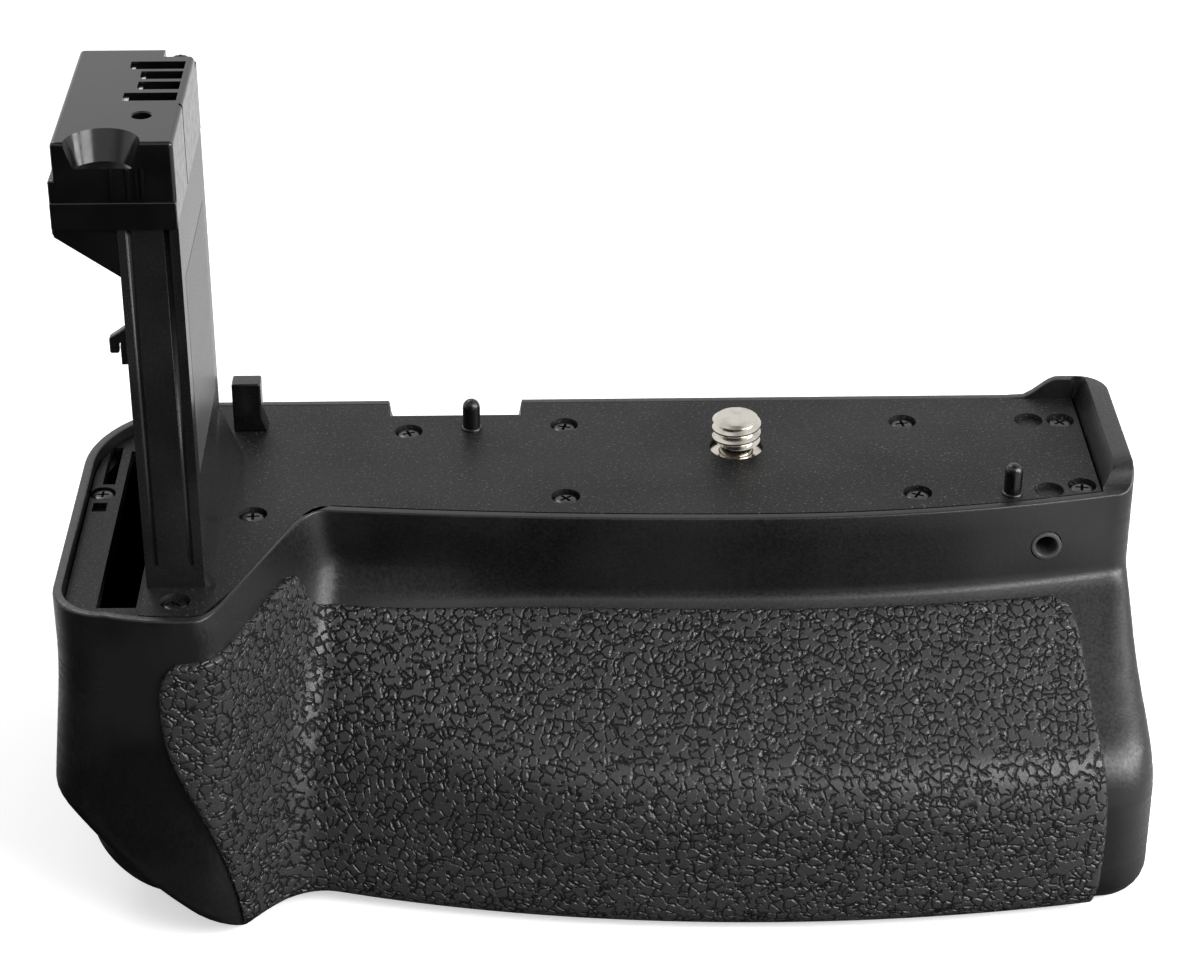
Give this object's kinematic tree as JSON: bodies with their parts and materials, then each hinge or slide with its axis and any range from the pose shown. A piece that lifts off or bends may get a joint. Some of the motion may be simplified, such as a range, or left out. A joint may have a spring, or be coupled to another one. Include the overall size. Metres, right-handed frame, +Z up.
{
  "type": "camera battery grip",
  "caption": "Grip that screws under a camera: battery-shaped tower, rubber hand pad, thumbwheel screw, release button and a sliding tray for battery packs.",
  "frame": {"origin": "centre of the tripod socket's mouth, in the plane of the base", "axes": "+X to the right end where the tray slides out, -Y to the front with the rubber pad, +Z up to the seat and tower"},
  "size_m": [0.1378, 0.0645, 0.104],
  "materials": {
    "shell_plastic": "fine matte moulded texture",
    "gloss_plastic": "polished",
    "grip_rubber": "leather-like grain",
    "wheel_plastic": "ribbed rim",
    "nickel": "bright nickel plate",
    "black_screw": "black oxide",
    "steel": "plain",
    "gold_contact": "plated",
    "board": "solder mask",
    "label_film": "printed film, blank"
  },
  "bodies": {
    "base": {"main_housing": "shell_plastic", "bottom_cover": "shell_plastic", "cover_fixings": "black_screw", "tripod_socket": "nickel", "top_plate": "shell_plastic", "seat_fixings": "black_screw", "locating_pins": "gloss_plastic", "guide_post": "shell_plastic", "storage_frame": "shell_plastic", "tower_shaft": "shell_plastic", "tower_label": "label_film", "tower_head": "gloss_plastic", "tower_contacts": "gold_contact", "head_screw": "black_screw", "tower_fixings": "steel", "wheel_cradle": "shell_plastic", "screw_ring": "nickel", "rubber_grip": "grip_rubber", "button_bezel": "shell_plastic", "release_switch": "shell_plastic", "switch_plate": "steel", "switch_fixings": "steel", "remote_jack": "gloss_plastic", "control_board": "board", "board_fixings": "steel", "bay_connector": "shell_plastic"},
    "wheel": {"camera_screw": "nickel", "thumbwheel": "wheel_plastic", "shaft_clip": "steel"},
    "button": {"shutter_button": "gloss_plastic"},
    "tray": {"battery_tray": "shell_plastic", "tray_cap": "shell_plastic", "cap_fixings": "black_screw", "tray_contacts": "gold_contact"},
    "lock": {"lock_knob": "shell_plastic", "lock_tongue": "steel"}
  },
  "joints": [
    {"name": "wheel_turn", "type": "hinge", "parent": "base", "child": "wheel", "pos_m": [0, 0.0346, 0.03], "axis": [0, 0, 1], "continuous": true},
    {"name": "button_press", "type": "slide", "parent": "base", "child": "button", "axis": [0.6126, 0, 0.7904], "range_m": [0, 0.0012], "stiffness_N_per_m": 300, "springref_m": -0.001},
    {"name": "tray_slide", "type": "slide", "parent": "base", "child": "tray", "axis": [1, 0, 0], "range_m": [0, 0.098]},
    {"name": "lock_turn", "type": "hinge", "parent": "tray", "child": "lock", "pos_m": [0.0514, 0.0266, 0.01055], "axis": [1, 0, 0], "range_deg": [0, 90]}
  ]
}
